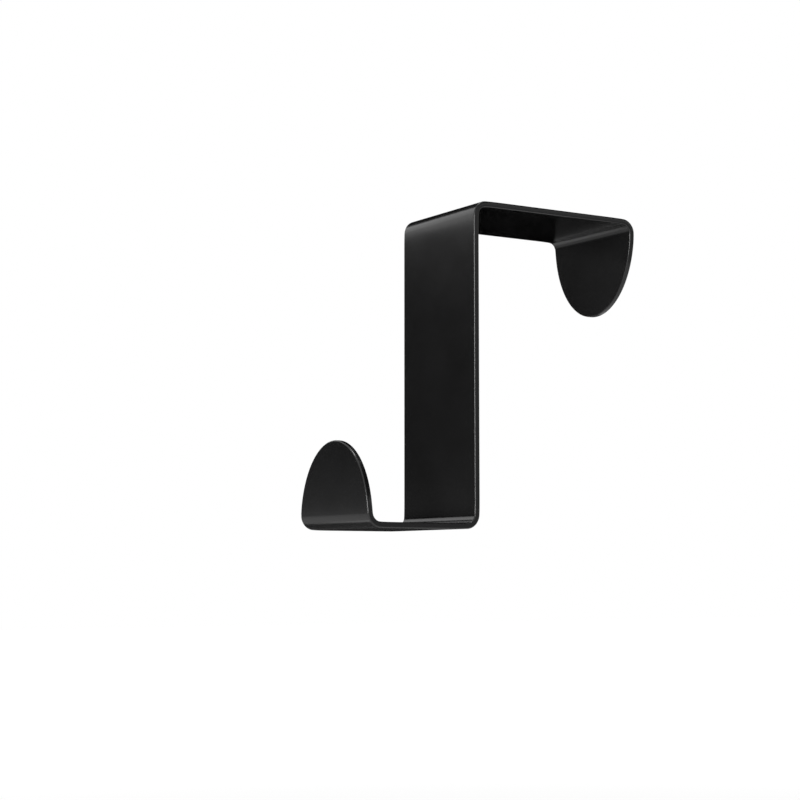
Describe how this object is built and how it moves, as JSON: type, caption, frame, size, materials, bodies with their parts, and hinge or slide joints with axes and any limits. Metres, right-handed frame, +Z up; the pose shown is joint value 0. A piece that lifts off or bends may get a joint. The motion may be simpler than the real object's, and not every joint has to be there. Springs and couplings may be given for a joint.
{
  "type": "over door hook",
  "caption": "Folded flat steel strip hook: a square saddle fits over the top of a door, and a rounded upturned tab in front holds what hangs on it.",
  "frame": {"origin": "centre of the door seat, which is the flat underside of the saddle", "axes": "+Z up, -Y towards the hook in front of the door, X across the strip"},
  "size_m": [0.028, 0.0699, 0.07],
  "materials": {
    "coated_steel": "satin black powder coat"
  },
  "bodies": {
    "root": {"over_door_hook": "coated_steel"}
  },
  "joints": []
}
